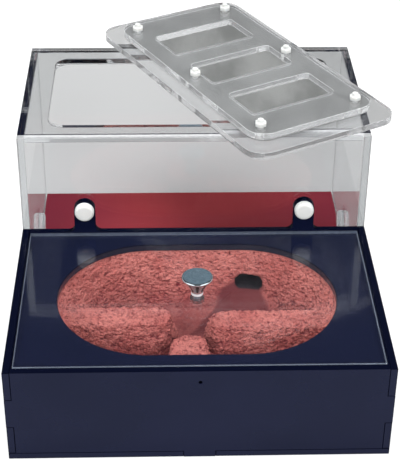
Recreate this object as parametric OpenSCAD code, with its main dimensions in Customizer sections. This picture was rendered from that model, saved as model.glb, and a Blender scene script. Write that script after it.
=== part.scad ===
// Ant habitat: a low nest box with a moulded plaster landscape under a clear cover,
// bolted by two ears to a tall clear foraging box whose ventilated lid lies across its top.
// Millimetres, +Z up. The origin is the centre of the two boxes' shared footprint on the ground.

/* [Both boxes] */
// Width of both boxes
box_w = 150; // [140:1:180]
// Thickness of the acrylic sheet
sheet_t = 3; // [2.5:0.5:4]

/* [Nest box] */
// Depth of the nest box
nest_d = 100; // [95:1:120]
// Height of the nest box
nest_h = 43; // [40:1:55]
// Width of the tongue that each nest panel sets down through the base plate
tongue_w = 12.5; // [8:0.5:20]
// Gap all round the clear cover, so that it lifts out
cover_gap = 0.6; // [0.3:0.1:1]
// Gap all round the mask plate and the plaster
insert_gap = 0.2; // [0.1:0.1:0.5]
// Width of the rounded opening in the mask plate
opening_w = 114; // [100:1:120]
// Depth of the rounded opening, twice the radius of its ends
opening_d = 76; // [60:0.5:80]
// Distance of the opening's centre behind the nest's centre
opening_back = 0.5; // [0:0.5:4]
// Diameter of the pinhole in the front panel
pinhole_dia = 1.4; // [1:0.2:3]
// Height of the pinhole above the ground
pinhole_z = 37.6; // [20:0.2:39]

/* [Plaster landscape] */
// How far the rim of the basin stands back from the mask's edge
rim_back = 0.5; // [0:0.1:1.5]
// Height of the basin's floor above the ground
basin_z = 14; // [8:0.5:18]
// Radius of the basin's ends at its floor
basin_floor_r = 26.5; // [20:0.5:30]
// How far the ridges stop below the mask plate
ridge_drop = 6; // [1:0.5:9]
// Width of the left ridge along its top
left_ridge_top = 12; // [6:0.5:14]
// Distance of the left ridge behind the nest's centre
left_ridge_back = 0; // [-4:0.5:8]
// Width of the right ridge along its top
right_ridge_top = 11.5; // [6:0.5:14]
// Distance of the right ridge behind the nest's centre
right_ridge_back = -2.7; // [-6:0.1:4]
// How much wider a ridge is at its foot than along its top
ridge_flare = 9; // [4:0.5:14]
// Where the left ridge ends, left of the middle
left_ridge_end = 16.8; // [14:0.1:26]
// Where the right ridge ends, right of the middle
right_ridge_end = 11; // [8:0.5:20]
// Radius of the front spur's end at its top
spur_r = 7; // [5:0.5:10]
// Height of the front spur above the ground
spur_z = 28; // [20:0.5:32]
// How far the middle of the spur's end lies in front of the nest's centre
spur_out = 16; // [12:0.5:20]
// How far the spur lies left of the middle
spur_left = 3.5; // [0:0.5:8]
// Radius of the smooth apron under the tunnel mouth, at its top
apron_r = 8.5; // [7:0.5:10]
// How far the middle of the apron lies in front of the rim
apron_out = 15; // [10:0.5:18]
// Width of the flat tunnel mouth
mouth_w = 12; // [9:0.5:14]
// Height of the flat tunnel mouth
mouth_h = 5.6; // [4.6:0.2:8]

/* [Passage between the boxes] */
// Sideways place of the passage
passage_x = 23.4; // [15:0.1:30]
// Height of the passage above the ground
passage_z = 24.2; // [22:0.1:30]
// Diameter of the passage through the two walls
passage_dia = 6; // [5:0.5:9]

/* [Ears and bolts] */
// Distance between the two ears
ear_pitch = 95; // [80:1:110]
// Width of an ear
ear_w = 9.2; // [9:0.2:14]
// Height of the bolts above the ground
bolt_z = 54; // [52:0.5:62]
// Radius of the hollow curve at an ear's foot
ear_fillet = 3; // [1:0.5:4]
// Diameter of the nylon bolts
bolt_dia = 4; // [3:0.5:4]
// Gap all round a bolt or stud in its hole
hole_gap = 0.05; // [0.02:0.01:0.2]
// Diameter of the bolt heads
bolt_head_dia = 8.3; // [7:0.1:10]
// Height of the bolt heads
bolt_head_h = 3; // [2:0.1:4]
// How far a bolt's tip stands out past the clear wall that it screws into
bolt_end = 1.5; // [0.5:0.1:3]
// Chamfer on a bolt's tip
bolt_tip = 0.5; // [0.2:0.1:0.8]

/* [Clear cover's knob] */
// Diameter of the knob's head
knob_dia = 12.8; // [10:0.2:16]
// Height of the knob above the cover
knob_h = 8.8; // [8:0.2:14]
// Thickness of the knob's rim
knob_rim = 1.4; // [1:0.1:2.5]
// Diameter of the knob's stem
knob_stem_dia = 5; // [4.8:0.1:7]
// Diameter of the screw that holds the knob
knob_screw_dia = 2.5; // [2:0.5:3]
// Diameter of that screw's flat head under the cover
knob_head_dia = 6; // [5:0.5:9]
// Height of that head
knob_head_h = 1.4; // [1:0.1:2]

/* [Foraging box] */
// Depth of the foraging box
out_d = 88; // [84:1:110]
// Height of the foraging box
out_h = 88; // [80:1:120]
// Height of the red floor above the ground
floor_z = 10; // [7:0.5:14]
// Width of the opening in the top
top_w = 125.6; // [110:0.2:130]
// Depth of the opening in the top
top_d = 64.6; // [55:0.2:68]
// Corner radius of the opening in the top
top_r = 7; // [4:0.5:14]
// Height of the side ports above the ground
port_z = 18.4; // [18:0.2:30]
// Diameter of the side ports
port_dia = 10; // [8:0.5:12]
// Gap all round a plug in its port
port_gap = 0.06; // [0.02:0.01:0.1]
// Diameter of a plug's domed head
plug_head_dia = 15.6; // [13:0.2:16]
// Height of a plug's domed head, and how far its nose stands inside
plug_dome = 2.7; // [1.5:0.1:4]

/* [Lid] */
// How much smaller the locating plate is than the opening, in length
locate_play_l = 1.2; // [0.6:0.2:4]
// How much smaller the locating plate is than the opening, in width
locate_play_w = 2.8; // [0.6:0.2:4]
// How far the cover plate reaches past the locating plate in length, at each end
lid_lip_l = 8.4; // [5:0.2:10]
// How far the cover plate reaches past the locating plate in width, at each side
lid_lip_w = 5.9; // [5:0.1:7]
// Corner radius of the locating plate
locate_r = 8.5; // [5:0.5:12]
// Corner radius of the cover plate
lid_r = 9; // [6:0.5:14]
// Thickness of the wire gauze
gauze_t = 0.5; // [0.3:0.1:1]
// How far the gauze's edge stands back from the locating plate's
gauze_back = 0.4; // [0.2:0.1:2]
// Width of a window along the lid
window_l = 21.4; // [15:0.2:24]
// Length of a window across the lid
window_w = 42.2; // [30:0.2:44]
// Corner radius of the windows
window_r = 2; // [1:0.5:5]
// Distance between the windows
window_pitch = 33.2; // [30:0.2:38]
// Diameter of the nylon studs
stud_dia = 2.5; // [2:0.5:3]
// Distance of the end studs from the locating plate's ends
stud_in_l = 7.8; // [6:0.2:10]
// Distance of the studs from the locating plate's long edges
stud_in_w = 6.7; // [5:0.1:8]
// Depth of a stud's blind hole in the cover plate
stud_seat = 2; // [1:0.1:2.4]
// Width across the flats of the nuts on the studs
stud_nut_af = 4.5; // [4:0.5:6]
// Height of the nuts on the studs
stud_nut_h = 2; // [1.5:0.1:3]
// How far a stud runs on past its nut
stud_end = 1.2; // [0.6:0.1:4]
// How far right of the middle the lid lies
lid_x = 22.6; // [10:0.2:30]
// How far behind the foraging box's centre the lid lies
lid_back = 13.5; // [5:0.5:20]
// Turn of the lid where it lies
lid_turn = -61.3; // [-75:0.1:-45]

/* [Hidden] */
$fn = 96;
EPS = 0.01;
FILLET_LEAN = 0.06;
BIG = 400;
front_y = -(nest_d + out_d) / 2;
seam_y = front_y + nest_d;
back_y = seam_y + out_d;
nest_mid_y = front_y + nest_d / 2;
out_mid_y = seam_y + out_d / 2;
half_w = box_w / 2;
inner_half_w = half_w - sheet_t;
cover_z = nest_h - sheet_t;
mask_z = cover_z - sheet_t;
finger_h = (nest_h - sheet_t) / 3;
opening_y = nest_mid_y + opening_back;
rim_r = opening_d / 2 + rim_back;
basin_reach = (opening_w - opening_d) / 2;
apron_y = opening_y + rim_r - apron_out;
apron_z = passage_z - mouth_h / 2;
ridge_z = mask_z - ridge_drop;
top_z = out_h - sheet_t;
locate_l = top_w - locate_play_l;
locate_w = top_d - locate_play_w;
lid_l = locate_l + 2 * lid_lip_l;
lid_w = locate_w + 2 * lid_lip_w;
locate_z = sheet_t + gauze_t;
lid_top = locate_z + sheet_t;

// A box between two corners
module span(a, b) {
  translate(a) cube(b - a);
}

// A rounded rectangle about the origin, in the plane
module rounded(l, w, r) {
  square([l - 2 * r, w], center = true);
  square([l, w - 2 * r], center = true);
  for (x = [-1, 1], y = [-1, 1])
    translate([x * (l / 2 - r), y * (w / 2 - r)]) circle(r);
}

// A slot with round ends about the origin, in the plane
module slot(l, w) {
  square([l - w, w], center = true);
  for (x = [-1, 1]) translate([x * (l - w) / 2, 0]) circle(w / 2);
}

// A straight bank or trench along X between x1 and x2, with conical ends
module bank(x1, x2, y, z1, r1, z2, r2) {
  translate([0, y, 0]) {
    translate([x1, 0, 0]) rotate([90, 0, 90])
      linear_extrude(x2 - x1)
        polygon([[-r1, z1], [r1, z1], [r2, z2], [-r2, z2]]);
    for (x = [x1, x2])
      translate([x, 0, z1]) cylinder(h = z2 - z1, r1 = r1, r2 = r2);
  }
}

// A hole or shank along Y, from y1 to y2
module along_y(x, z, y1, y2, d) {
  translate([x, y2, z]) rotate([90, 0, 0]) cylinder(h = y2 - y1, d = d);
}

module nest_base_plate() {
  color([0.11, 0.13, 0.22])
  difference() {
    span([-half_w, front_y, 0], [half_w, seam_y, sheet_t]);
    // the panels' tongues come down through the plate's edges
    for (y = [front_y, seam_y])
      translate([-tongue_w / 2, y - sheet_t, -1]) cube([tongue_w, 2 * sheet_t, sheet_t + 2]);
    for (x = [-half_w, half_w])
      translate([x - sheet_t, nest_mid_y - tongue_w / 2, -1])
        cube([2 * sheet_t, tongue_w, sheet_t + 2]);
  }
}

// The outline of a panel across the box, seen from the front: its middle finger
// reaches the outer faces and its tongue reaches the ground
module cross_panel_outline() {
  translate([-inner_half_w, sheet_t]) square([2 * inner_half_w, nest_h - sheet_t]);
  translate([-half_w, sheet_t + finger_h]) square([box_w, finger_h]);
  translate([-tongue_w / 2, 0]) square([tongue_w, sheet_t + EPS]);
}

// The outline of a side panel, seen from its right: the fingers at its top and
// bottom corners reach the front and rear faces
module side_panel_outline() {
  difference() {
    translate([front_y, sheet_t]) square([nest_d, nest_h - sheet_t]);
    for (y = [front_y - EPS, seam_y - sheet_t])
      translate([y, sheet_t + finger_h]) square([sheet_t + EPS, finger_h]);
  }
  translate([nest_mid_y - tongue_w / 2, 0]) square([tongue_w, sheet_t + EPS]);
}

// One ear with its round top and hollow curves at its foot, which meet the panel's
// edge and the ear's side at a slight angle
module ear_outline() {
  translate([-ear_w / 2, nest_h - EPS]) square([ear_w, bolt_z - nest_h + EPS]);
  translate([0, bolt_z]) circle(ear_w / 2);
  for (s = [0, 1]) mirror([s, 0]) difference() {
    translate([ear_w / 2 - EPS, nest_h - EPS]) square(ear_fillet + EPS - FILLET_LEAN);
    translate([ear_w / 2 + ear_fillet - FILLET_LEAN, nest_h + ear_fillet - FILLET_LEAN])
      circle(ear_fillet);
  }
}

module nest_front_panel() {
  color([0.13, 0.15, 0.25])
  difference() {
    translate([0, front_y + sheet_t, 0]) rotate([90, 0, 0])
      linear_extrude(sheet_t) cross_panel_outline();
    along_y(0, pinhole_z, front_y - 1, front_y + sheet_t + 1, pinhole_dia, $fn = 32);
  }
}

module nest_rear_panel() {
  color([0.13, 0.15, 0.25])
  difference() {
    translate([0, seam_y, 0]) rotate([90, 0, 0]) linear_extrude(sheet_t) {
      cross_panel_outline();
      for (s = [-1, 1]) translate([s * ear_pitch / 2, 0]) ear_outline();
    }
    for (s = [-1, 1])
      along_y(s * ear_pitch / 2, bolt_z, seam_y - sheet_t - 1, seam_y + 1,
              bolt_dia + 2 * hole_gap);
    along_y(passage_x, passage_z, seam_y - sheet_t - 1, seam_y + 1, passage_dia);
  }
}

module side_panel() {
  rotate([90, 0, 90]) linear_extrude(sheet_t) side_panel_outline();
}

module nest_left_panel() {
  color([0.15, 0.17, 0.28]) translate([-half_w, 0, 0]) side_panel();
}

module nest_right_panel() {
  color([0.15, 0.17, 0.28]) translate([inner_half_w, 0, 0]) side_panel();
}

// The cast landscape: a basin with sloping walls, two ridges that divide it into
// a rear and a front gallery, a gap between them, a spur from the front rim that
// ends before the gap and an apron that climbs to the tunnel mouth
module plaster_insert() {
  color([0.75, 0.38, 0.34])
  difference() {
    union() {
      difference() {
        span([-inner_half_w + insert_gap, front_y + sheet_t + insert_gap, sheet_t],
             [inner_half_w - insert_gap, seam_y - sheet_t - insert_gap, mask_z]);
        bank(-basin_reach, basin_reach, opening_y, basin_z, basin_floor_r,
             mask_z + EPS, rim_r);
      }
      bank(-opening_w / 2, -left_ridge_end, nest_mid_y + left_ridge_back,
           basin_z - 1, (left_ridge_top + ridge_flare) / 2, ridge_z, left_ridge_top / 2);
      bank(right_ridge_end, opening_w / 2, nest_mid_y + right_ridge_back,
           basin_z - 1, (right_ridge_top + ridge_flare) / 2, ridge_z, right_ridge_top / 2);
      translate([-spur_left, 0, 0]) rotate([0, 0, 90])
        bank(opening_y - rim_r + spur_r, nest_mid_y - spur_out, 0,
             basin_z - 1, 1.5 * spur_r, spur_z, spur_r);
      translate([passage_x, apron_y, basin_z - 1])
        cylinder(h = apron_z - basin_z + 1, r1 = 2 * apron_r, r2 = apron_r);
    }
    // the flat tunnel from the apron back to the rear panel
    translate([passage_x, seam_y, passage_z]) rotate([90, 0, 0])
      linear_extrude(seam_y - apron_y + apron_r) slot(mouth_w, mouth_h);
  }
}

module mask_plate() {
  color([0.12, 0.14, 0.24])
  difference() {
    span([-inner_half_w + insert_gap, front_y + sheet_t + insert_gap, mask_z],
         [inner_half_w - insert_gap, seam_y - sheet_t - insert_gap, cover_z]);
    translate([0, opening_y, mask_z - 1])
      linear_extrude(sheet_t + 2) slot(opening_w, opening_d);
  }
}

module nest_cover() {
  color([0.8, 0.9, 0.95, 0.35])
  difference() {
    span([-inner_half_w + cover_gap, front_y + sheet_t + cover_gap, cover_z],
         [inner_half_w - cover_gap, seam_y - sheet_t - cover_gap, nest_h]);
    translate([0, nest_mid_y, cover_z - 1])
      cylinder(h = sheet_t + 2, d = knob_screw_dia + 2 * hole_gap);
  }
}

// Turned knob: a flat head with a rounded rim, a taper, a slim stem and a foot ring
module cover_knob() {
  r = knob_dia / 2;
  s = knob_stem_dia / 2;
  e = knob_rim / 2;
  color([0.75, 0.78, 0.8])
  translate([0, nest_mid_y, nest_h])
  difference() {
    rotate_extrude() {
      translate([0, knob_h - knob_rim]) square([r - e, knob_rim]);
      translate([r - e, knob_h - e]) circle(e, $fn = 32);
      polygon([[0, 0], [s, 0], [s, 1.2], [s - 0.3, 1.6], [s - 0.3, 0.25 * knob_h],
               [0.54 * r, 0.5 * knob_h], [0.8 * r, 0.72 * knob_h],
               [r - e, knob_h - knob_rim], [0, knob_h - knob_rim + EPS]]);
    }
    translate([0, 0, -1]) cylinder(h = 6.2, d = knob_screw_dia + 2 * hole_gap);
  }
}

module knob_screw() {
  color([0.7, 0.7, 0.72])
  translate([0, nest_mid_y, 0]) {
    translate([0, 0, cover_z - knob_head_h]) cylinder(h = knob_head_h, d = knob_head_dia);
    translate([0, 0, cover_z - EPS]) cylinder(h = sheet_t + 5, d = knob_screw_dia);
  }
}

// A nylon bolt along Y with a low domed head in front of the ear, screwed into the
// clear wall
module ear_bolt() {
  h = bolt_head_h;
  r = bolt_head_dia / 2;
  k = 1.1;
  rotate([90, 0, 0]) {
    rotate_extrude() {
      square([r, h - k]);
      translate([0, h - k - EPS]) square([r - k, k + EPS]);
      translate([r - k, h - k]) circle(k, $fn = 32);
    }
    translate([0, 0, bolt_tip - 2 * sheet_t - bolt_end])
      cylinder(h = 2 * sheet_t + bolt_end - bolt_tip + EPS, d = bolt_dia);
    translate([0, 0, -(2 * sheet_t + bolt_end)])
      cylinder(h = bolt_tip + EPS, d1 = bolt_dia - 2 * bolt_tip, d2 = bolt_dia);
  }
}

module ear_bolts() {
  color([0.94, 0.94, 0.93])
  for (s = [-1, 1]) translate([s * ear_pitch / 2, seam_y - sheet_t, bolt_z]) ear_bolt();
}

module hex_nut(af, h, d) {
  difference() {
    cylinder(h = h, d = af / cos(30), $fn = 6);
    translate([0, 0, -1]) cylinder(h = h + 2, d = d);
  }
}

module outworld_base() {
  color([0.09, 0.1, 0.16])
  span([-half_w, seam_y + sheet_t, 0], [half_w, back_y, sheet_t]);
}

module outworld_floor() {
  color([0.55, 0.2, 0.24])
  span([-inner_half_w, seam_y + sheet_t, sheet_t], [inner_half_w, back_y - sheet_t, floor_z]);
}

module outworld_front_wall() {
  color([0.8, 0.9, 0.95, 0.35])
  difference() {
    span([-half_w, seam_y, 0], [half_w, seam_y + sheet_t, out_h]);
    for (s = [-1, 1])
      along_y(s * ear_pitch / 2, bolt_z, seam_y - 1, seam_y + sheet_t + 1,
              bolt_dia + 2 * hole_gap);
    along_y(passage_x, passage_z, seam_y - 1, seam_y + sheet_t + 1, passage_dia);
  }
}

module outworld_rear_wall() {
  color([0.8, 0.9, 0.95, 0.35])
  span([-half_w, back_y - sheet_t, sheet_t], [half_w, back_y, out_h]);
}

module outworld_side_wall() {
  difference() {
    span([inner_half_w, seam_y + sheet_t, sheet_t], [half_w, back_y - sheet_t, out_h]);
    translate([inner_half_w - 1, out_mid_y, port_z]) rotate([0, 90, 0])
      cylinder(h = sheet_t + 2, d = port_dia);
  }
}

module outworld_left_wall() {
  color([0.8, 0.9, 0.95, 0.35]) mirror([1, 0, 0]) outworld_side_wall();
}

module outworld_right_wall() {
  color([0.8, 0.9, 0.95, 0.35]) outworld_side_wall();
}

module outworld_top() {
  color([0.8, 0.9, 0.95, 0.35])
  difference() {
    span([-inner_half_w, seam_y + sheet_t, top_z], [inner_half_w, back_y - sheet_t, out_h]);
    translate([0, out_mid_y, top_z - 1])
      linear_extrude(sheet_t + 2) rounded(top_w, top_d, top_r);
  }
}

// A clear plug along X: a domed head outside the wall and a rounded nose inside it
module port_plug() {
  c = plug_dome;
  R = plug_head_dia / 2;
  rs = (R * R + c * c) / (2 * c);
  s = port_dia / 2 - port_gap;
  k = 1.6;
  translate([half_w, out_mid_y, port_z]) rotate([0, 90, 0]) {
    rotate_extrude() intersection() {
      translate([0, c - rs]) circle(rs);
      square([R, c]);
    }
    rotate_extrude() {
      translate([0, -(sheet_t + c - k)]) square([s, sheet_t + c - k + EPS]);
      translate([0, -(sheet_t + c)]) square([s - k, k + EPS]);
      translate([s - k, -(sheet_t + c - k)]) circle(k, $fn = 48);
    }
  }
}

module left_port_plug() {
  color([0.85, 0.88, 0.9, 0.5]) mirror([1, 0, 0]) port_plug();
}

module right_port_plug() {
  color([0.85, 0.88, 0.9, 0.5]) port_plug();
}

// Everything on the lid is drawn about the lid's centre, with its outer face down,
// and set where it lies
module lid_place() {
  translate([lid_x, out_mid_y + lid_back, out_h]) rotate([0, 0, lid_turn]) children();
}

module at_studs() {
  for (i = [-1, 0, 1], j = [-1, 1])
    translate([i * (locate_l / 2 - stud_in_l), j * (locate_w / 2 - stud_in_w), 0]) children();
}

module windows() {
  for (i = [-1, 0, 1])
    translate([i * window_pitch, 0]) rounded(window_l, window_w, window_r);
}

module lid_cover_plate() {
  color([0.8, 0.9, 0.95, 0.35])
  lid_place() difference() {
    linear_extrude(sheet_t) difference() {
      rounded(lid_l, lid_w, lid_r);
      windows();
    }
    at_studs() translate([0, 0, sheet_t - stud_seat])
      cylinder(h = stud_seat + 1, d = stud_dia + 2 * hole_gap);
  }
}

module lid_gauze() {
  color([0.6, 0.61, 0.6])
  lid_place() translate([0, 0, sheet_t]) difference() {
    linear_extrude(gauze_t)
      rounded(locate_l - 2 * gauze_back, locate_w - 2 * gauze_back, locate_r - gauze_back);
    at_studs() translate([0, 0, -1]) cylinder(h = gauze_t + 2, d = stud_dia + 2 * hole_gap);
  }
}

module lid_locating_plate() {
  color([0.8, 0.9, 0.95, 0.35])
  lid_place() translate([0, 0, locate_z]) difference() {
    linear_extrude(sheet_t) difference() {
      rounded(locate_l, locate_w, locate_r);
      windows();
    }
    at_studs() translate([0, 0, -1]) cylinder(h = sheet_t + 2, d = stud_dia + 2 * hole_gap);
  }
}

module lid_studs() {
  color([0.94, 0.94, 0.93])
  lid_place() at_studs() translate([0, 0, sheet_t - stud_seat])
    cylinder(h = lid_top + stud_nut_h + stud_end - sheet_t + stud_seat, d = stud_dia);
}

module lid_nuts() {
  color([0.94, 0.94, 0.93])
  lid_place() at_studs() translate([0, 0, lid_top])
    hex_nut(stud_nut_af, stud_nut_h, stud_dia + 2 * hole_gap);
}

nest_base_plate();
nest_front_panel();
nest_rear_panel();
nest_left_panel();
nest_right_panel();
plaster_insert();
mask_plate();
nest_cover();
cover_knob();
knob_screw();
ear_bolts();
outworld_base();
outworld_floor();
outworld_front_wall();
outworld_rear_wall();
outworld_left_wall();
outworld_right_wall();
outworld_top();
left_port_plug();
right_port_plug();
lid_cover_plate();
lid_gauze();
lid_locating_plate();
lid_studs();
lid_nuts();
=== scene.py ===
import math

import bmesh
import bpy
from mathutils import Matrix, Vector, noise


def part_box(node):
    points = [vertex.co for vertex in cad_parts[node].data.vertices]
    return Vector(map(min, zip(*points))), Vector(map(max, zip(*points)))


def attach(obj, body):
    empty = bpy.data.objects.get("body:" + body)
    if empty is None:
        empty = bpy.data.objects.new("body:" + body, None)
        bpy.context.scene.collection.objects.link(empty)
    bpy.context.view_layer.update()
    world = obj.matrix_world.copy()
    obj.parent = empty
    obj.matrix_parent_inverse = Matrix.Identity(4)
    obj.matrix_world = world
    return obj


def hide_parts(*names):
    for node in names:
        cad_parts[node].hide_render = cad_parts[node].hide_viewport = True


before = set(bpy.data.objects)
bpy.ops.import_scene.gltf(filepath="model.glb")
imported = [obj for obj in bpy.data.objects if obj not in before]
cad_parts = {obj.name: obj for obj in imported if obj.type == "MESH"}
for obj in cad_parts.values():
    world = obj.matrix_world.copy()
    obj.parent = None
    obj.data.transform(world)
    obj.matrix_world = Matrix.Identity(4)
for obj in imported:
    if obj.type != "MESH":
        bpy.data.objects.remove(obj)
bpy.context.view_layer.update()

# Shared sizes of the object, in metres, as its solids have them, with the lid's place and turn
SEAM_Y = 0.006
NEST_MID_Y, OPENING_Y = -0.044, -0.0435
HALF_W, SHEET = 0.075, 0.003
NEST_H, MASK_Z = 0.043, 0.037
BASIN_Z, BASIN_SLOPE, BASIN_REACH = 0.014, 12 / 23, 0.019
RIM_R = 0.0385
PASSAGE_X = 0.0234
EAR_X, BOLT_Z = 0.0475, 0.054
PORT_Y, PORT_Z = 0.050, 0.0184
LID = Vector((0.0226, 0.0635, 0.088))
LID_TURN = math.radians(-61.3)
STUD_X, STUD_Y = 0.0544, 0.0242
NUT_MID_Z, NUT_THICK = 0.00752, 0.0019

# What only the looks have: the sheets' eased edges, a hair's breadth, the floor's gap at the walls,
# the gauze's wire spacing, the knob's flat disc, waist and flutes, and the plaster's crumbs and skin
DARK_EASE, CLEAR_EASE, LID_EASE, BASE_EASE = 0.00030, 0.00012, 0.00025, 0.00018
HAIR, FLOOR_GAP = 0.00003, 0.0003
WIRE_STEP = 0.00042
DISC_R, WAIST_R, FLUTES = 0.0058, 0.0050, 8
CRUMB, SKIN = 0.00100, 0.0001

# An edge bent by more than SHARP is eased; a face whose normal lies that near an axis is FLAT
SHARP, FLAT = math.radians(35), 0.97


class Wire:
    """A socket of a finish that plain Python sums work on."""

    def __init__(self, finish, socket):
        self.finish, self.socket = finish, socket

    def sum(self, operation, first, second=0.0, clamp=False):
        settings = {"operation": operation, "use_clamp": clamp}
        return self.finish.add("ShaderNodeMath", settings, {0: first, 1: second})

    def __add__(self, other):
        return self.sum("ADD", self, other)

    def __radd__(self, other):
        return self.sum("ADD", other, self)

    def __sub__(self, other):
        return self.sum("SUBTRACT", self, other)

    def __rsub__(self, other):
        return self.sum("SUBTRACT", other, self)

    def __mul__(self, other):
        return self.sum("MULTIPLY", self, other)

    def __rmul__(self, other):
        return self.sum("MULTIPLY", other, self)

    def __pow__(self, other):
        return self.sum("POWER", self, other)

    def __abs__(self):
        return self.sum("ABSOLUTE", self)

    def over(self, limit):
        return self.sum("GREATER_THAN", self, limit)

    def least(self, other):
        return self.sum("MINIMUM", self, other)

    def most(self, other):
        return self.sum("MAXIMUM", self, other)

    def clamped(self):
        return self.sum("ADD", self, 0.0, clamp=True)

    def ramp(self, low, high, to_low=0.0, to_high=1.0):
        return self.finish.add("ShaderNodeMapRange", {"interpolation_type": "SMOOTHSTEP"}, {
            "Value": self, "From Min": low, "From Max": high, "To Min": to_low, "To Max": to_high})


class Finish:
    """One material, with its nodes added from a type, its settings and the values of its sockets."""

    def __init__(self, name, tree=None):
        if tree is None:
            self.material = bpy.data.materials.new(name)
            self.material.use_nodes = True
            tree = self.material.node_tree
        self.tree = tree
        self.tree.nodes.clear()

    def add(self, kind, settings=None, sockets=None, out=0):
        node = self.tree.nodes.new(kind)
        for key, value in (settings or {}).items():
            setattr(node, key, value)
        for key, value in (sockets or {}).items():
            target = node.inputs[key]
            if isinstance(value, Wire):
                self.tree.links.new(value.socket, target)
            elif isinstance(value, tuple) and len(value) == 3 and target.type == "RGBA":
                target.default_value = (*value, 1.0)
            else:
                target.default_value = value
        return Wire(self, node.outputs[out]) if node.outputs else None

    def place(self):
        return self.add("ShaderNodeTexCoord", out="Object")

    def parts(self, wire):
        split = self.add("ShaderNodeSeparateXYZ", sockets={0: wire}).socket.node
        return [Wire(self, s) for s in split.outputs]

    def facing(self):
        return self.parts(self.add("ShaderNodeNewGeometry", out="True Normal"))

    def mark(self, name):
        return self.add("ShaderNodeAttribute", {"attribute_name": name}, out="Fac")

    def stretched(self, scale, turn=(0.0, 0.0, 0.0)):
        return self.add("ShaderNodeMapping", sockets={
            0: self.place(), "Scale": scale, "Rotation": turn})

    def grain(self, scale, detail, rough, place=None):
        return self.add("ShaderNodeTexNoise", sockets={
            "Vector": place or self.place(), "Scale": scale, "Detail": detail, "Roughness": rough})

    def blend(self, share, first, second):
        sockets = {0: share, 6: first, 7: second}
        return self.add("ShaderNodeMix", {"data_type": "RGBA"}, sockets, out=2)

    def relief(self, height, depth, strength):
        return self.add("ShaderNodeBump", sockets={
            "Height": height, "Distance": depth, "Strength": strength})

    def principled(self, **sockets):
        named = {key.replace("_", " "): value for key, value in sockets.items()}
        return self.add("ShaderNodeBsdfPrincipled", sockets=named)

    def either(self, share, first, second):
        return self.add("ShaderNodeMixShader", sockets={0: share, 1: first, 2: second})

    def show(self, shader):
        self.add("ShaderNodeOutputMaterial", sockets={0: shader})
        return self.material


def cut_edges(f, thin):
    """1 on the faces across a sheet whose thickness lies along that axis, 0 on its broad faces."""
    return 1.0 - abs(f.facing()["xyz".index(thin)]).over(0.7)


def eased_corners(f, thin=None):
    """1 on the narrow eased corners of a sheet, 0 on its broad faces and, where its thickness lies
    along "thin", on all its cut edges, the round ones too. Without "thin", only faces that look along
    an axis count as flat."""
    if thin:
        lean = abs(f.facing()["xyz".index(thin)])
        return lean.over(0.2) * (1.0 - lean.over(FLAT))
    x, y, z = f.facing()
    return 1.0 - abs(x).most(abs(y)).most(abs(z)).over(FLAT)


def darker(colour, share):
    return tuple(c * share for c in colour)


def navy_acrylic(name, cut=None):
    """Dark navy sheet, painted nearly black on the nest box's top edges as shade, its eased corners
    painted near black as shade of the seams between sheets; "cut" is a colour painted on the sheet's cut
    edges as light, lighter than the shade there."""
    f = Finish(name)
    haze = f.grain(38.0, 3.0, 0.6)
    wipe = f.grain(9.0, 4.0, 0.55, f.stretched((1.0, 0.35, 1.6), (0.3, 0.2, 0.5)))
    mottle = (haze * 0.4 + wipe * 0.6).ramp(0.35, 0.7)
    body = f.blend(mottle, (0.0036, 0.0053, 0.0210), (0.0056, 0.0074, 0.0270))
    z, up = f.parts(f.place())[2], f.facing()[2].over(0.7)
    # Up-facing faces at the nest box's top edge painted nearly black: painted shade.
    body = f.blend(up * z.over(NEST_H - 0.0005), body, (0.0008, 0.0016, 0.0090))
    # Cut edges painted lighter than the shade that falls on them: painted light.
    if cut:
        body = f.blend(1.0 - up, body, cut)
    scratch = f.grain(900.0, 2.0, 0.6, f.stretched((1.0, 0.06, 1.0), (0.1, 0.0, 0.7)))
    rough = 0.12 + wipe * 0.10 + scratch.ramp(0.62, 0.75) * 0.05
    bump = f.relief(haze * 0.5 + scratch * 0.12, 0.00003, 0.5)
    sheet = f.principled(
        Base_Color=body, Roughness=rough, Normal=bump, IOR=1.44,
        Specular_Tint=(0.72, 0.78, 1.0, 1.0))
    # A near-black diffuse on the eased corners: painted shade of the seams between sheets, on the outer
    # edges too.
    painted_seam_shade = f.add("ShaderNodeBsdfDiffuse", sockets={"Color": (0.0010, 0.0014, 0.0060)})
    return f.show(f.either(eased_corners(f, "z" if cut else None) * 0.85, sheet, painted_seam_shade))


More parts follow.
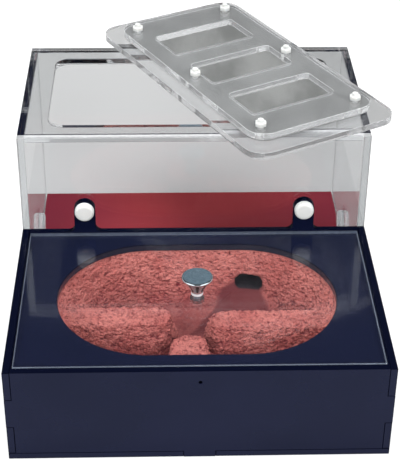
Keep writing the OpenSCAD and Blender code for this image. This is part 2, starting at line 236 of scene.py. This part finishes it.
def clear_acrylic(name, thin, tint=(0.965, 0.975, 0.98), satin=0.0, white=(0.84, 0.85, 0.86), rim=0.0,
                  painted_corner_line=None, haze=0.0, gloss=1.49, joint=None):
    """Clear sheet with polished broad faces. Its cut edges have a "satin" share of "white", their eased
    corners a "rim" share of painted lines in the given corner colour, pale ones as painted highlights,
    near-black ones as painted shade, and the whole sheet at least a "haze" share of white. In front of
    the y of "joint" its front edge is cemented, with near-black painted shade along its top."""
    f = Finish(name)
    edge, corner = cut_edges(f, thin), eased_corners(f, thin)
    swirl = f.grain(14.0, 3.0, 0.5)
    streak = f.grain(700.0, 2.0, 0.5, f.stretched((1.0, 1.0, 0.2)))
    rough = edge * (0.012 + satin * 0.2 + streak.ramp(0.4, 0.7) * 0.02)
    bump = f.relief(swirl, 0.00008, 0.35)
    body = f.principled(
        Base_Color=tint, Roughness=rough, Normal=bump, IOR=gloss, Transmission_Weight=1.0)
    share = (edge * (0.7 + streak * 0.6) * satin).most(corner * rim).most(haze)
    if joint:
        y, (back, up) = f.parts(f.place())[1], f.facing()[1:]
        near = (joint - y).over(0.0)
        # Near-black painted shade along the top of the cemented front edge.
        painted_seam_shade = near * up.over(0.7)
        share = share.most(near * (back * -1.0).over(0.7) * 0.5).most(painted_seam_shade * 0.85)
        corner = corner.most(painted_seam_shade)
    # Eased corners take the painted corner colour: pale painted highlights on the lid and the cover,
    # near-black painted shade on the top sheet.
    frost_and_painted_lines = f.principled(Base_Color=f.blend(corner, white, painted_corner_line or white), Roughness=0.35)
    if satin or rim or haze or joint:
        body = f.either(share.clamped(), body, frost_and_painted_lines)
    lit_through = f.add("ShaderNodeBsdfTransparent", sockets={"Color": darker(tint, 0.985)})
    return f.show(f.either(f.add("ShaderNodeLightPath", out="Is Shadow Ray"), body, lit_through))


def white_nylon():
    f = Finish("white_nylon")
    cloud = f.grain(260.0, 2.0, 0.5)
    colour = f.blend(cloud, (0.63, 0.645, 0.63), (0.72, 0.725, 0.715))
    return f.show(f.principled(
        Base_Color=colour, Roughness=0.30 + cloud * 0.12, Normal=f.relief(cloud, 0.00004, 0.6),
        Subsurface_Weight=0.25, Subsurface_Scale=0.0012, Subsurface_Radius=(1.0, 0.9, 0.8), IOR=1.53))


def steel():
    f = Finish("steel")
    colour = (0.40, 0.28, 0.29)
    smear = f.grain(420.0, 3.0, 0.6)
    return f.show(f.principled(
        Base_Color=f.blend(smear, colour, darker(colour, 0.86)), Metallic=0.85,
        Roughness=smear.ramp(0.3, 0.7, 0.15, 0.3), Normal=f.relief(smear, 0.000012, 0.4)))


def chrome():
    """Chrome with fine turned rings about the knob's axis and a darker, softer disc on top; the grooves
    between the waist's flutes are painted deeper in colour as shade, and the foot painted pale as a
    highlight."""
    f = Finish("chrome")
    colour, disc = (0.66, 0.71, 0.75), (0.17, 0.25, 0.31)
    from_axis = {0: f.place(), 1: (0.0, NEST_MID_Y, 0.0)}
    x, y, z = f.parts(f.add("ShaderNodeVectorMath", {"operation": "SUBTRACT"}, from_axis))
    radius = (x * x + y * y) ** 0.5
    ring_sockets = {"W": radius * 9000.0, "Scale": 1.0, "Detail": 2.0}
    rings = f.add("ShaderNodeTexNoise", {"noise_dimensions": "1D"}, ring_sockets)
    mark = rings * 0.6 + f.grain(420.0, 3.0, 0.6) * 0.4
    top = f.facing()[2].over(0.9) * (DISC_R - radius).over(0.0)
    foot = (NEST_H + 0.0014 - z).over(0.0)
    around = x.sum("COSINE", x.sum("ARCTAN2", y, x) * float(FLUTES))
    groove = around.ramp(-0.1, 0.8) * z.ramp(NEST_H + 0.0018, NEST_H + 0.0024)
    groove = groove * (WAIST_R - 0.0001 - radius).over(0.0) * (1.0 - top)
    shade = f.blend(mark, colour, darker(colour, 0.86))
    # The grooves between the flutes are painted near black as shade.
    shade = f.blend(groove, shade, darker(colour, 0.15))
    shade = f.blend(top, shade, f.blend(mark, disc, darker(disc, 0.8)))
    # The foot is painted pale and less metallic as a highlight.
    shade = f.blend(foot, shade, (0.86, 0.88, 0.91))
    rough = mark.ramp(0.3, 0.7, 0.05, 0.13) + top * 0.16
    metal = 1.0 - top * 0.4 - (WAIST_R - radius).over(0.0) * (1.0 - top) * 0.25 - foot * 0.4
    return f.show(f.principled(
        Base_Color=shade, Metallic=metal, Roughness=rough, Normal=f.relief(mark, 0.000012, 0.4)))


def wire_gauze():
    """Woven wire along and across the turned lid, with cloudy patches."""
    f = Finish("wire_gauze")
    x, y = f.parts(f.stretched((1.0, 1.0, 1.0), (0.0, 0.0, -LID_TURN)))[:2]
    waves = math.pi / WIRE_STEP
    warp, weft = (x * waves).sum("SINE", x * waves), (y * waves).sum("SINE", y * waves)
    wires = abs(warp).most(abs(weft))
    cloud = f.grain(42.0, 5.0, 0.62, f.stretched((1.0, 0.45, 1.0), (0.0, 0.0, 0.5)))
    colour = f.blend(cloud.ramp(0.32, 0.68), (0.160, 0.164, 0.161), (0.292, 0.297, 0.293))
    colour = f.blend(wires.ramp(0.35, 0.9), (0.11, 0.113, 0.11), colour)
    return f.show(f.principled(
        Base_Color=colour, Metallic=0.25, Roughness=0.42 + cloud * 0.15,
        Normal=f.relief(wires, 0.00012, 0.6)))


def red_sheet():
    """Dark red sheet, lighter along long streaks and a little lighter in its middle, both painted
    reflection.
    """
    f = Finish("red_sheet")
    long = f.grain(16.0, 3.0, 0.55, f.stretched((0.22, 1.0, 1.0)))
    fine = f.grain(130.0, 2.0, 0.5, f.stretched((0.3, 1.0, 1.0)))
    outward = abs(f.parts(f.place())[0]).ramp(0.0, HALF_W)
    # Lighter along the long streaks and towards the middle: painted reflection; the streaks also set the
    # roughness and bumps.
    tone_and_painted_sheen = (long * 0.7 + (1.0 - outward) * 0.45).clamped()
    colour = f.blend(tone_and_painted_sheen.ramp(0.25, 0.85), (0.150, 0.017, 0.030), (0.315, 0.038, 0.046))
    return f.show(f.principled(
        Base_Color=colour, Roughness=0.16 + long * 0.18,
        Normal=f.relief(long + fine * 0.3, 0.0004, 0.4), IOR=1.49))


def coral_plaster():
    """Cast plaster: crumbled and coral pink, painted paler on top and high at the back as light, wine
    red in the pits as painted shade and low in the basin, partly damp and partly painted shade, smooth
    and dull where "calm", and painted near black inside the tunnel as shade."""
    f = Finish("coral_plaster")
    relief, calm, painted_tunnel_shade = f.mark("relief"), f.mark("calm"), f.mark("painted_tunnel_shade")
    y, z = f.parts(f.place())[1:]
    flat = f.stretched((1.0, 1.0, 1.7))
    pits = f.grain(560.0, 3.0, 0.6, flat)
    crumb = f.add("ShaderNodeTexVoronoi", sockets={"Vector": flat, "Scale": 850.0})
    dust = f.grain(1500.0, 3.0, 0.6)
    patch = f.grain(70.0, 3.0, 0.6)
    top = f.facing()[2].ramp(0.60, 0.97)
    rough = (1.0 - calm) * (1.0 - top * 0.35)
    broken = ((pits - 0.5) * 2.2 + (0.5 - crumb) * 0.5) * rough
    # Crumbs and up-facing faces raise the colour as painted light and pits lower it as painted shade;
    # the same heights drive the bumps.
    height = relief * 0.45 + broken + (dust - 0.5) * 0.35 + 0.26 + top * 0.10
    # High at the back the colour is raised further as painted light.
    height = height + z.ramp(0.020, 0.036) * y.ramp(-0.040, -0.020) * 0.16
    raised = f.blend(patch.ramp(0.35, 0.65), (0.68, 0.200, 0.176), (0.82, 0.285, 0.248))
    # Wine red where low: painted shade in the pits.
    colour = f.blend(height.ramp(-0.14, 0.76), (0.185, 0.027, 0.038), raised)
    # Wine red low in the basin: painted shade, partly damp.
    deep_painted_shade = 1.0 - z.ramp(BASIN_Z + 0.002, MASK_Z - 0.008)
    colour = f.blend(deep_painted_shade * 0.30, colour, (0.26, 0.048, 0.062))
    wiped = f.blend(patch, (0.105, 0.020, 0.027), (0.150, 0.034, 0.040))
    colour = f.blend(calm * 0.9, colour, wiped)
    # Near black inside the tunnel: painted shade.
    colour = f.blend(painted_tunnel_shade, colour, (0.028, 0.025, 0.030))
    bump = f.relief(height.clamped() * (1.0 - calm * 0.6), 0.0013, 0.9)
    return f.show(f.principled(
        Base_Color=colour, Roughness=0.86 - calm * 0.22, Normal=bump, Specular_IOR_Level=0.25))


def mesh_piece(name, bm, material, body, node, crease=25.0):
    """Turns a finished bmesh into the piece that stands for that node; edges bent by more than "crease"
    degrees stay crisp."""
    for edge in bm.edges:
        edge.smooth = len(edge.link_faces) == 2 and edge.calc_face_angle(0.0) < math.radians(crease)
    for face in bm.faces:
        face.smooth = True
    mesh = bpy.data.meshes.new(name)
    bm.to_mesh(mesh)
    bm.free()
    mesh.materials.append(material)
    piece = bpy.data.objects.new(name, mesh)
    bpy.context.scene.collection.objects.link(piece)
    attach(piece, body)
    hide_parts(node)


def merged_copy(node):
    bm = bmesh.new()
    bm.from_mesh(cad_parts[node].data)
    bmesh.ops.remove_doubles(bm, verts=bm.verts, dist=2e-6)
    bmesh.ops.dissolve_limit(
        bm, angle_limit=math.radians(0.5), verts=bm.verts, edges=bm.edges, delimit={"NORMAL"})
    return bm


def round_off(bm, edges, width):
    bmesh.ops.bevel(
        bm, geom=edges, offset=width, offset_type="OFFSET", segments=2, profile=0.5,
        affect="EDGES", clamp_overlap=True, material=-1)


def eased(node, material, body="boxes", width=DARK_EASE, grow=(0.0, 0.0, 0.0)):
    """That node's sheet with its sharp edges eased, as sanding or a flame leaves them. It grows at each
    end by a hair where solvent has welded it to the next sheet, and shrinks where the two only touch."""
    bm = merged_copy(node)
    low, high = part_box(node)
    half = [(high[i] - low[i]) / 2 for i in range(3)]
    bmesh.ops.scale(
        bm, vec=[(half[i] + grow[i]) / half[i] for i in range(3)], verts=bm.verts,
        space=Matrix.Translation(-(low + high) / 2))
    sharp = [e for e in bm.edges if len(e.link_faces) == 2 and e.calc_face_angle(0.0) > SHARP]
    round_off(bm, sharp, width)
    mesh_piece(node + "_eased", bm, material, body, node, crease=12.0)


def dress(node, material):
    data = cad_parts[node].data
    data.materials.clear()
    data.materials.append(material)


def chain(bm, outline):
    """A row of edges through (radius, height) points in the XZ plane, from millimetres."""
    points = [bm.verts.new((r / 1000.0, 0.0, h / 1000.0)) for r, h in outline]
    return points + [bm.edges.new(pair) for pair in zip(points, points[1:])]


def by_vertices(part):
    """A number that sets an edge or a face in order by the places of its vertices in their row."""
    places = sorted(v.index for v in part.verts)
    return (places[0] * 10**5 + places[1]) * 10**5 + places[-1]


def turned(outline, steps=64):
    """A turned solid about Z from an outline of (radius, height) points, in millimetres. Merging its
    points on the axis leaves the rest in a chance order, so they are sorted."""
    bm = bmesh.new()
    bmesh.ops.spin(
        bm, geom=chain(bm, outline), cent=(0.0, 0.0, 0.0), axis=(0.0, 0.0, 1.0), angle=math.tau,
        steps=steps, use_merge=True, use_duplicate=False)
    bmesh.ops.remove_doubles(bm, verts=bm.verts, dist=1e-6)
    bmesh.ops.recalc_face_normals(bm, faces=bm.faces)
    bm.verts.index_update()
    bm.edges.sort(key=by_vertices)
    bm.faces.sort(key=by_vertices)
    return bm


def rounded_corner(centre, radius, start, end, count):
    """Points of an arc in an outline, from one angle in degrees to another."""
    angles = (math.radians(start + (end - start) * i / count) for i in range(count + 1))
    return [(centre[0] + radius * math.cos(a), centre[1] + radius * math.sin(a)) for a in angles]


def threaded_rod(radius, pitch, low, high, steps=16):
    """A threaded rod about Z from one height to another, in millimetres, cut flat at both ends."""
    bm = bmesh.new()
    groove = radius - 0.6 * pitch
    tooth = (groove, 0.0), (radius, 0.42 * pitch), (radius, 0.58 * pitch), (groove, pitch)
    turns = math.ceil((high - low) / pitch) + 2
    bmesh.ops.spin(
        bm, geom=chain(bm, [(r, low - pitch + h) for r, h in tooth]), cent=(0.0, 0.0, 0.0),
        axis=(0.0, 0.0, 1.0), dvec=(0.0, 0.0, pitch / steps / 1000.0), angle=math.tau * turns,
        steps=steps * turns)
    bmesh.ops.remove_doubles(bm, verts=bm.verts, dist=2e-6)
    for height, side in ((low, -1.0), (high, 1.0)):
        bmesh.ops.bisect_plane(
            bm, geom=bm.verts[:] + bm.edges[:] + bm.faces[:], dist=1e-7,
            plane_co=(0.0, 0.0, height / 1000.0), plane_no=(0.0, 0.0, side), clear_outer=True)
    bmesh.ops.holes_fill(bm, edges=[e for e in bm.edges if e.is_boundary], sides=0)
    bmesh.ops.recalc_face_normals(bm, faces=bm.faces)
    return bm


def placed(bm, *places):
    """The shape set at each of those places, in one bmesh."""
    shape = bpy.data.meshes.new("shape")
    bm.to_mesh(shape)
    bm.clear()
    for place in places:
        copy = shape.copy()
        copy.transform(place)
        bm.from_mesh(copy)
        bpy.data.meshes.remove(copy)
    bpy.data.meshes.remove(shape)
    return bm


def joined(first, second):
    """Both shapes in one bmesh."""
    shape = bpy.data.meshes.new("shape")
    second.to_mesh(shape)
    second.free()
    first.from_mesh(shape)
    bpy.data.meshes.remove(shape)
    return first


def stud_places():
    """The six studs' places on the lid, with the lid's turn."""
    turn = Matrix.Translation(LID) @ Matrix.Rotation(LID_TURN, 4, "Z")
    return [
        turn @ Matrix.Translation((i * STUD_X, j * STUD_Y, 0.0)) for i in (-1, 0, 1) for j in (-1, 1)]


def ramp(value, low, high):
    share = max(0.0, min(1.0, (value - low) / (high - low)))
    return share * share * (3.0 - 2.0 * share)


def knob(material):
    """The chromed knob: a flat head with a fine turned groove, a fluted taper, a waist and a foot ring
    that is hollow below."""
    head = [(0.0, 8.8), (5.2, 8.8), (5.35, 8.76), (5.5, 8.8), (5.75, 8.8)]
    head += rounded_corner((5.75, 8.15), 0.65, 90, -60, 10)
    taper = [(5.4, 7.3), (4.95, 6.9), (4.7, 6.3), (4.25, 5.5), (3.75, 4.7), (3.3, 3.9), (2.95, 3.2),
             (2.7, 2.5), (2.6, 1.9), (2.45, 1.4), (2.4, 1.2)]
    foot = rounded_corner((2.25, 0.8), 0.2, 60, 0, 4)
    foot += [(2.45, 0.2), (2.3, 0.05), (1.3, 0.05), (1.3, 0.3), (0.0, 0.3)]
    bm = turned(head + taper + foot, 96)
    for v in bm.verts:
        flute = -math.cos(FLUTES * math.atan2(v.co.y, v.co.x))
        flute *= ramp(v.co.z, 0.0016, 0.0025) * ramp(0.0070 - v.co.z, 0.0, 0.0006)
        v.co.xy *= 1.0 + 0.035 * flute
    bm = placed(bm, Matrix.Translation((0.0, NEST_MID_Y, NEST_H)))
    mesh_piece("turned_knob", bm, material, "cover", "cover_knob", crease=32.0)


def ear_bolts(material):
    """Two nylon bolts along Y: low domed heads in front of the ears, threads through the clear wall."""
    head = [(0.0, 3.0), (1.6, 2.97)] + rounded_corner((2.9, 1.7), 1.25, 90, 0, 8)
    head += [(4.15, 0.25), (4.0, 0.03), (0.0, 0.03)]
    bm = joined(turned(head), threaded_rod(2.10, 0.7, -7.5, 0.1))
    turn = Matrix.Rotation(math.radians(90), 4, "X")
    bm = placed(bm, *(
        Matrix.Translation((s * EAR_X, SEAM_Y - SHEET, BOLT_Z)) @ turn for s in (-1, 1)))
    mesh_piece("nylon_ear_bolts", bm, material, "boxes", "ear_bolts")


def lid_studs(material):
    bm = placed(threaded_rod(1.36, 0.45, 1.02, 9.7, 12), *stud_places())
    mesh_piece("threaded_studs", bm, material, "lid", "lid_studs")


def nut_ring(radius, sides):
    """An open ring as high as a nut, at the nuts' height."""
    bm = bmesh.new()
    bmesh.ops.create_cone(
        bm, cap_ends=False, segments=sides, radius1=radius, radius2=radius, depth=NUT_THICK,
        matrix=Matrix.Translation((0.0, 0.0, NUT_MID_Z)))
    return bm


def lid_nuts(material):
    """Six hexagon nuts with a round bore and their outer edges rounded off."""
    bm = joined(nut_ring(0.0026, 6), nut_ring(0.0013, 24))
    for z in (NUT_MID_Z - NUT_THICK / 2, NUT_MID_Z + NUT_THICK / 2):
        ring = [e for e in bm.edges if all(abs(v.co.z - z) < 1e-6 for v in e.verts)]
        bmesh.ops.bridge_loops(bm, edges=ring)
    bmesh.ops.recalc_face_normals(bm, faces=bm.faces)
    outer = [e for e in bm.edges if math.hypot(*((e.verts[0].co + e.verts[1].co) / 2).xy) > 0.0022
             and e.calc_face_angle(0.0) > SHARP]
    round_off(bm, outer, 0.00022)
    bm = placed(bm, *stud_places())
    mesh_piece("hexagon_nuts", bm, material, "lid", "lid_nuts")


def port_plug(name, material, body, side):
    """A clear plug along X: a thin domed head outside the wall and a rounded nose inside it."""
    head = [(0.0, 2.7), (1.6, 2.58), (3.2, 2.22), (4.7, 1.66), (5.9, 1.04), (6.9, 0.45), (7.5, 0.12),
            (7.55, 0.05), (4.9, 0.05)]
    nose = [(4.9, -4.0)] + rounded_corner((3.34, -4.1), 1.56, 0, -90, 8) + [(0.0, -5.66)]
    turn = Matrix.Rotation(math.radians(90 * side), 4, "Y")
    spot = Matrix.Translation((side * HALF_W, PORT_Y, PORT_Z))
    bm = placed(turned(head + nose, 72), spot @ turn)
    mesh_piece(name + "_smooth", bm, material, body, name, crease=40.0)


def basin_depth(x, y):
    """How far inside the basin's rim a point lies, seen from above."""
    along = max(-BASIN_REACH, min(BASIN_REACH, x))
    return RIM_R - math.hypot(x - along, y - OPENING_Y)


def in_passage(x, y, z, half, top):
    """Whether a point lies in or about the tunnel, within that half width and below that height."""
    return abs(x - PASSAGE_X) < half and y > OPENING_Y and z < top


def modified_mesh(mesh, kind, chosen=None, **settings):
    """The mesh after one modifier, which has the chosen vertices as its group."""
    block = bpy.data.objects.new("plaster_block", mesh)
    bpy.context.scene.collection.objects.link(block)
    step = block.modifiers.new("step", kind)
    block.vertex_groups.clear()
    if chosen is not None:
        block.vertex_groups.new(name="chosen").add(chosen, 1.0, "REPLACE")
        settings["vertex_group"] = "chosen"
    for key, value in settings.items():
        setattr(step, key, value)
    result = bpy.data.meshes.new_from_object(
        block.evaluated_get(bpy.context.evaluated_depsgraph_get()))
    bpy.data.objects.remove(block)
    return result


def divided_block(node):
    """That node's solid with even, fine faces in its basin and tunnel, smoothed well inside the basin,
    and few faces elsewhere."""
    bm = merged_copy(node)
    bmesh.ops.triangulate(bm, faces=bm.faces)
    mesh = bpy.data.meshes.new("plaster_solid")
    bm.to_mesh(mesh)
    bm.free()
    voxel, rounds = ((0.00047, 12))
    fine = modified_mesh(mesh, "REMESH", mode="VOXEL", voxel_size=voxel)
    near = 0.0012
    plain, soft = [], []
    for v in fine.vertices:
        x, y, z = v.co
        depth = basin_depth(x, y)
        if z < BASIN_Z - 0.003 or depth < -near and not in_passage(x, y, z, 0.008, 0.030):
            plain.append(v.index)
        elif depth > near and z < MASK_Z - near:
            soft.append(v.index)
    fine = modified_mesh(fine, "SMOOTH", soft, iterations=rounds, factor=0.5)
    share = 1.0 - 0.985 * len(plain) / len(fine.vertices)
    return modified_mesh(fine, "DECIMATE", plain, ratio=share, vertex_group_factor=1000.0)


def crumbled(p):
    """How far broken plaster stands out at a point in millimetres: lumps and crumbs less pits."""
    shift = Vector((noise.noise(p * 0.9), noise.noise(p * 0.9 + Vector((9.0, 0.0, 0.0))), 0.0))
    warped = p + shift * 0.5
    cells = noise.voronoi(warped * 0.72 + Vector((3.0, 1.0, 2.0)))[0]
    fines = noise.voronoi(warped * 1.5)[0]
    crumbs = 0.95 * min(0.55, cells[1] - cells[0]) + 0.55 * min(0.4, fines[1] - fines[0]) - 0.32
    lumps = noise.fractal(p * 0.28, 1.0, 2.0, 4)
    pits = max(0.0, noise.fractal(p * 0.5 + Vector((7.0, 3.0, 1.0)), 1.0, 2.0, 3) - 0.30)
    return 0.55 * lumps + 1.3 * crumbs - 1.1 * pits


def wiped_smooth(x, y, z, drift):
    """How smooth the plaster is: wholly on the apron below the tunnel mouth, which widens towards the
    front, and nearly by half on the path through the gap. "drift" lets their borders wander."""
    half, bend = 0.0066, 0.0027
    ahead = max(0.0, OPENING_Y + RIM_R - 0.0055 - y)
    left = half + 3.0 * min(ahead, bend) + 0.6 * max(0.0, ahead - bend)
    right = half + 0.20 * ahead
    side = min(x - PASSAGE_X + left, right - x + PASSAGE_X) + 0.0012 * drift
    apron = ramp(side, -0.0006, 0.0034) * ramp(0.0276 + 0.0010 * drift - z, -0.0006, 0.0008)
    apron *= ramp(y, -0.046, -0.032)
    path = ramp(0.0135 - abs(x + 0.001) + 0.0018 * drift, 0.0, 0.003)
    path = path * ramp(y, -0.058, -0.053) * ramp(0.020 - z, 0.0, 0.003)
    return max(apron, 0.45 * path)


def rough_plaster(material):
    """The cast landscape: the node's own solid, finely divided, its surface crumbled, with the marks
    that its finish reads."""
    bm = bmesh.new()
    bm.from_mesh(divided_block("plaster_insert"))
    bm.normal_update()
    relief, calm, painted_tunnel_shade = (bm.verts.layers.float.new(name) for name in ("relief", "calm", "painted_tunnel_shade"))
    for v in bm.verts:
        x, y, z = v.co
        depth = basin_depth(x, y)
        # Near black inside the tunnel past its mouth: painted shade.
        if in_passage(x, y, z, 0.0072, 0.029) and z > BASIN_Z:
            past_slope = (MASK_Z - z) * BASIN_SLOPE - depth
            v[painted_tunnel_shade] = ramp(past_slope, 0.0002, 0.0016)
        outside = depth < -0.0002 or z > MASK_Z - SKIN or z < BASIN_Z - 0.002
        if outside:
            v[relief], v[calm] = 0.5, 0.6
            continue
        p = v.co * 1000.0
        smooth = wiped_smooth(x, y, z, noise.fractal(p * 0.12, 1.0, 2.0, 3))
        rough = crumbled(p)
        # The relief mark drives the bumps and, in the finish, paints shade into the pits.
        v[relief] = max(0.0, min(1.0, 0.55 + 0.6 * rough))
        v[calm] = smooth
        fade = min(1.0, (MASK_Z - z) / 0.0015) * (1.0 - 0.9 * smooth)
        v.co += v.normal * (CRUMB * rough * fade)
        v.co.z = min(v.co.z, MASK_Z - SKIN)
    mesh_piece(
        "plaster_rough", bm, material, "boxes", "plaster_insert", crease=80.0)


def photo_camera():
    yaw, pitch, roll = (math.radians(a) for a in (1.9455, 33.0512, 0.5789))
    spot = (-0.014256, -0.490244, 0.364360)
    level, flat = Vector((math.cos(yaw), -math.sin(yaw), 0.0)), math.cos(pitch)
    ahead = Vector((math.sin(yaw) * flat, math.cos(yaw) * flat, -math.sin(pitch)))
    above = level.cross(ahead)
    right = level * math.cos(roll) + above * math.sin(roll)
    up = above * math.cos(roll) - level * math.sin(roll)
    data = bpy.data.cameras.new("photo_camera")
    data.sensor_width, data.lens = 36.0, 105.11
    data.clip_start, data.clip_end = 0.01, 50.0
    camera = bpy.data.objects.new("photo_camera", data)
    turn = Matrix((right, up, -ahead)).transposed().to_4x4()
    camera.matrix_world = Matrix.Translation(spot) @ turn
    bpy.context.scene.collection.objects.link(camera)
    bpy.context.scene.camera = camera


def seen_level(f, eye, glass, mirror, rest):
    """A light level for rays straight from the camera, through glass and in a mirror; "rest" is what
    lights things."""
    path = f.add("ShaderNodeLightPath").socket.node
    names = "Is Camera Ray", "Is Transmission Ray", "Is Glossy Ray", "Diffuse Depth"
    direct, through, gloss, bounces = (Wire(f, path.outputs[name]) for name in names)
    through = through * (1.0 - direct)
    gloss = gloss * (1.0 - direct) * (1.0 - through)
    seen = 1.0 - bounces.least(1.0)
    other = 1.0 - (direct + through + gloss) * seen
    return (direct * eye + through * glass + gloss * mirror) * seen + other * rest


def studio_floor():
    """A pale floor just below the object that glows a little, so that it stays even to the camera;
    through glass its glow fades towards +x as painted shade.
    """
    bm = bmesh.new()
    bmesh.ops.create_grid(bm, x_segments=1, y_segments=1, size=6.0)
    mesh = bpy.data.meshes.new("studio_floor")
    bm.to_mesh(mesh)
    bm.free()
    mesh.transform(Matrix.Translation((0.0, 0.0, -0.0002)))
    f = Finish("studio_floor")
    x = f.parts(f.place())[0]
    paper = f.add("ShaderNodeBsdfDiffuse", sockets={"Color": (0.90, 0.90, 0.90)})
    # Seen through glass the floor glows less towards +x: painted shade.
    level = seen_level(f, 1.12, x.ramp(-0.05, 0.08, 0.44, 0.24), 0.12, 0.35)
    glow = f.add("ShaderNodeEmission", sockets={"Color": (1.0, 1.0, 1.0), "Strength": level})
    mesh.materials.append(f.show(f.either(0.70, paper, glow)))
    floor = bpy.data.objects.new("studio_floor", mesh)
    bpy.context.scene.collection.objects.link(floor)


def studio_world():
    """A plain pale room that glass and mirrors show darker overhead, and mirrors with two bright side
    panels."""
    world = bpy.data.worlds.new("studio")
    bpy.context.scene.world = world
    world.use_nodes = True
    f = Finish("studio", world.node_tree)
    x, y, z = f.parts(f.add("ShaderNodeTexCoord", out="Generated"))
    panels = abs(x).ramp(0.28, 0.34) * (y * -1.0).over(0.0)
    panels = panels * z.ramp(0.34, 0.40) * z.ramp(0.90, 0.84)
    glass = z.ramp(0.02, 0.36, 0.60, 0.0)
    mirror = z.ramp(0.12, 0.42, 1.5, 0.05).most(panels * 2.4)
    level = seen_level(f, 1.0, glass, mirror, 0.50)
    back = f.add("ShaderNodeBackground", sockets={"Color": (0.985, 1.0, 1.01), "Strength": level})
    f.add("ShaderNodeOutputWorld", sockets={0: back})


def softbox(name, spot, width, depth, power):
    """An area lamp aimed at the object that glass and mirrors don't show."""
    lamp = bpy.data.lights.new(name, "AREA")
    lamp.shape, lamp.size, lamp.size_y, lamp.energy = "RECTANGLE", width, depth, power
    holder = bpy.data.objects.new(name, lamp)
    holder.location = spot
    aim = Vector((0.0, 0.0, 0.03)) - Vector(spot)
    holder.rotation_euler = aim.to_track_quat("-Z", "Y").to_euler()
    holder.visible_transmission = holder.visible_glossy = False
    bpy.context.scene.collection.objects.link(holder)


photo_camera()
studio_floor()
studio_world()
softbox("top_softbox", (0.05, 0.0, 1.35), 0.8, 0.7, 15.0)
softbox("left_softbox", (-1.0, -1.1, 0.95), 0.7, 0.7, 17.6)
softbox("right_softbox", (1.0, -1.1, 0.95), 0.7, 0.7, 17.6)
bpy.context.scene.view_settings.view_transform = "Standard"
cycles = bpy.context.scene.cycles
cycles.max_bounces, cycles.glossy_bounces, cycles.transmission_bounces = 32, 20, 28
cycles.transparent_max_bounces = 24

navy = navy_acrylic("navy_acrylic")
nylon = white_nylon()
for node, deeper in (
        ("nest_base_plate", 0), ("nest_front_panel", 0), ("nest_rear_panel", -HAIR),
        ("nest_left_panel", 0), ("nest_right_panel", 0)):
    eased(node, navy, grow=(0, deeper, 0))
# The mask's cut edges are painted lighter, as light.
eased("mask_plate", navy_acrylic("navy_mask", (0.022, 0.024, 0.042)))
eased("outworld_base", navy, width=BASE_EASE, grow=(0, 0, -HAIR))
eased("outworld_floor", red_sheet(), grow=(-FLOOR_GAP, -FLOOR_GAP, -HAIR))
clear_side = clear_acrylic("clear_side", "x")
# The top sheet's eased corners and the top of its cemented edge are painted near black as shade.
clear_top = clear_acrylic("clear_top", "z", rim=0.8, painted_corner_line=(0.03, 0.03, 0.04), joint=0.0098)
for node, glass, grow in (
        ("outworld_front_wall", clear_acrylic("clear_front", "y", satin=0.35), (0, 0, 0)),
        ("outworld_rear_wall", clear_acrylic("clear_rear", "y", satin=0.15), (0, 0, 0)),
        ("outworld_left_wall", clear_side, (0, HAIR, 0)),
        ("outworld_right_wall", clear_side, (0, HAIR, 0)),
        ("outworld_top", clear_top, (HAIR, HAIR, 0))):
    eased(node, glass, width=CLEAR_EASE, grow=grow)
# The cover's cut edges and eased corners are painted bluish pale as a highlight.
clear_cover = clear_acrylic(
    "clear_cover", "z", satin=0.22, white=(0.42, 0.49, 0.60), rim=0.12, haze=0.0035, gloss=1.35)
eased("nest_cover", clear_cover, "cover", grow=(0, 0, -HAIR))
for node, haze in (("lid_cover_plate", 0.012), ("lid_locating_plate", 0.05)):
    # The lid plates' eased corners are painted near white as highlights.
    clear_lid = clear_acrylic(
        "clear_" + node[:-6], "z", (0.99, 0.995, 1.0), satin=0.20, rim=0.90,
        painted_corner_line=(0.95, 0.96, 0.97), haze=haze)
    eased(node, clear_lid, "lid", width=LID_EASE, grow=(0, 0, -HAIR))
dress("lid_gauze", wire_gauze())
dress("knob_screw", steel())
knob(chrome())
ear_bolts(nylon)
lid_studs(nylon)
lid_nuts(nylon)
clear_plug = clear_acrylic("clear_plug", "x", (0.95, 0.955, 0.96), satin=0.2, haze=0.16)
port_plug("left_port_plug", clear_plug, "left_plug", -1)
port_plug("right_port_plug", clear_plug, "right_plug", 1)
rough_plaster(coral_plaster())
